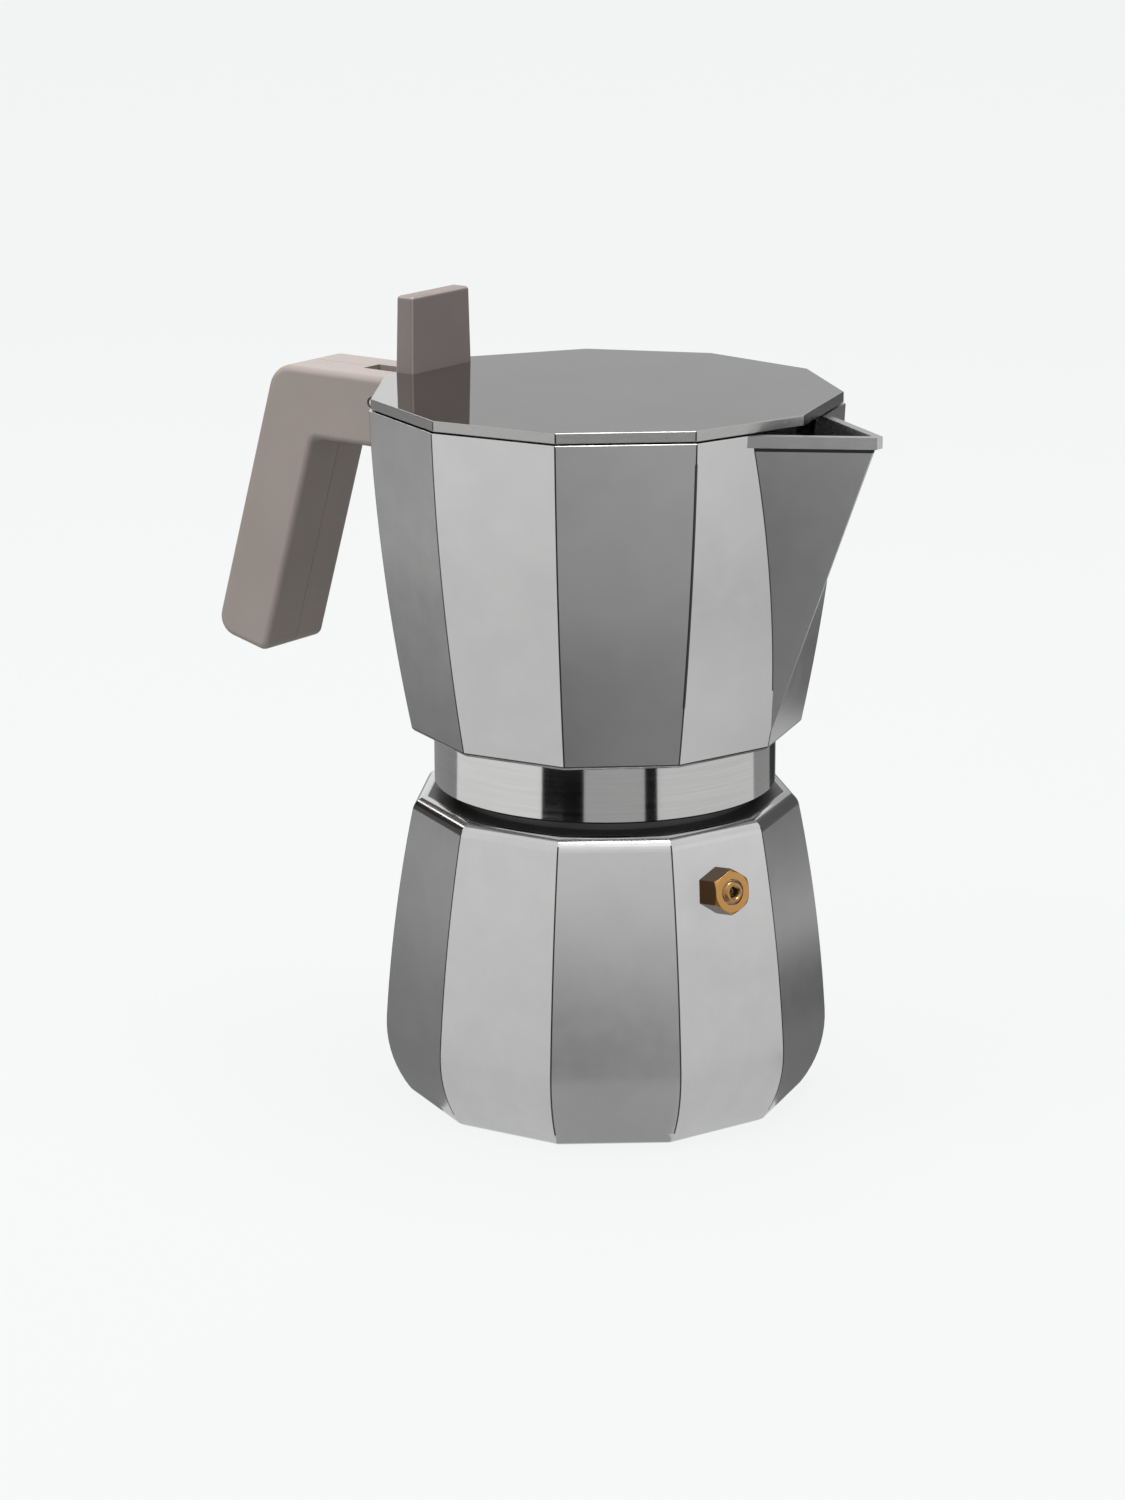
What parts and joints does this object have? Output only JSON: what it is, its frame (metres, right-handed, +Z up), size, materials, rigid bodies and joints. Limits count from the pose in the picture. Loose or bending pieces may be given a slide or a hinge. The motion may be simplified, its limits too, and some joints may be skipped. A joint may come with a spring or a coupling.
{
  "type": "stovetop moka pot",
  "caption": "Faceted stovetop moka pot with screw-on collector, beak spout, hinged lid with slab knob, angled handle and safety valve.",
  "frame": {"origin": "centre of the boiler's flat base", "axes": "+Z up, +X towards the spout, the handle towards -X"},
  "size_m": [0.1888, 0.1118, 0.1904],
  "materials": {
    "cast_aluminium": "satin cast",
    "collector_aluminium": "satin cast, ring machined bright",
    "lid_aluminium": "satin",
    "sheet_aluminium": "bright pressed sheet",
    "valve_brass": "turned brass",
    "valve_nozzle_metal": "bright turned brass",
    "spring_steel": "bright",
    "screw_steel": "bright",
    "gasket_rubber": "matte",
    "handle_plastic": "soft matte, moulded",
    "knob_plastic": "soft matte, moulded"
  },
  "bodies": {
    "boiler": {"boiler": "cast_aluminium", "valve_body": "valve_brass", "valve_nozzle": "valve_nozzle_metal", "valve_spring": "spring_steel"},
    "ball": {"valve_ball": "spring_steel"},
    "funnel": {"funnel_cup": "sheet_aluminium", "funnel_tube": "sheet_aluminium", "funnel_plate": "sheet_aluminium"},
    "gasket": {"gasket": "gasket_rubber"},
    "filter": {"filter_plate": "sheet_aluminium"},
    "upper": {"collector": "collector_aluminium", "column": "sheet_aluminium", "handle_shell_left": "handle_plastic", "handle_shell_right": "handle_plastic", "handle_screw": "screw_steel", "hinge_pin": "screw_steel"},
    "lid": {"lid": "lid_aluminium", "knob": "knob_plastic", "knob_screw_1": "screw_steel", "knob_screw_2": "screw_steel"}
  },
  "joints": [
    {"name": "valve_release", "type": "slide", "parent": "boiler", "child": "ball", "axis": [0.935, -0.3104, 0.1714], "range_m": [0, 0.0012], "stiffness_N_per_m": 400, "springref_m": -0.002, "deforming": ["valve_spring"]},
    {"name": "upper_lift", "type": "slide", "parent": "boiler", "child": "gasket", "axis": [0, 0, 1], "range_m": [0, 0.165]},
    {"name": "upper_rise", "type": "slide", "parent": "gasket", "child": "filter", "axis": [0, 0, 1], "range_m": [0, 0.007]},
    {"name": "upper_unscrew", "type": "hinge", "parent": "filter", "child": "upper", "pos_m": [0, 0, 0.08], "axis": [0, 0, 1], "range_deg": [0, 630]},
    {"name": "lid_hinge", "type": "hinge", "parent": "upper", "child": "lid", "pos_m": [-0.06166, 0, 0.1635], "axis": [0, -1, 0], "range_deg": [0, 91]},
    {"name": "funnel_lift", "type": "slide", "parent": "boiler", "child": "funnel", "axis": [0, 0, 1], "range_m": [0, 0.0825]}
  ],
  "couplings": [
    {"joint": "upper_rise", "follows": "upper_unscrew", "m_per_rad": 0.00063662},
    {"joint": "funnel_lift", "follows": "upper_lift", "ratio": 0.5}
  ]
}
